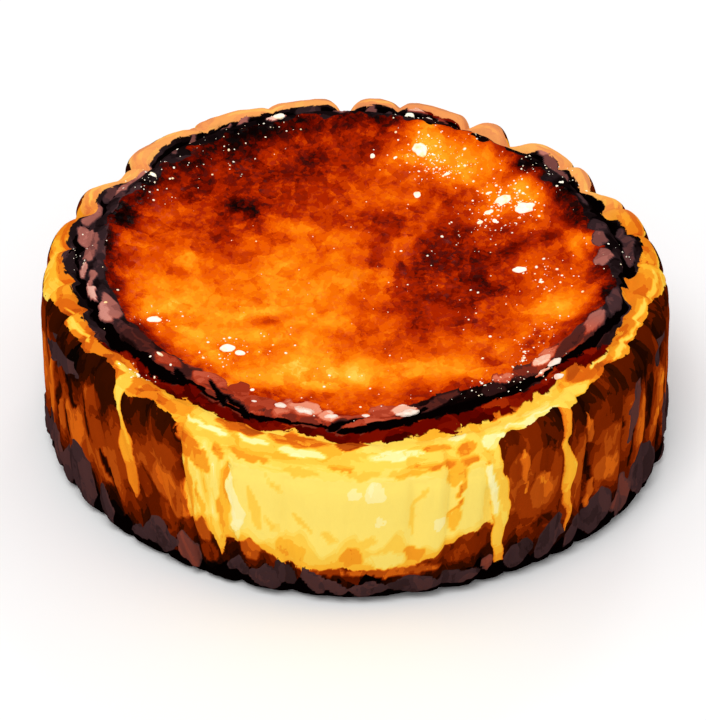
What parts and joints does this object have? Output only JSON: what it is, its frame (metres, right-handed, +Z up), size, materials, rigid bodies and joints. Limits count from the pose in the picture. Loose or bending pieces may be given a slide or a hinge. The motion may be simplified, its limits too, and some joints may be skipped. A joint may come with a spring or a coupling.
{
  "type": "basque cheesecake",
  "caption": "Whole round burnt cheesecake with a sunken caramelised top, charred ring, soft lip and paper-creased browned wall on a flat base.",
  "frame": {"origin": "middle of the flat base", "axes": "+Z up out of the top; -Y towards the front, the side with the pale cream patch; +X to the right seen from the front"},
  "size_m": [0.1996, 0.2061, 0.0624],
  "materials": {
    "crust": "browned cheesecake crust, satin on the wall and glossy where the top is caramelised",
    "caramel": "small glossy blisters and grains of burnt sugar on the top"
  },
  "bodies": {
    "root": {"cheesecake": "crust"}
  },
  "joints": []
}
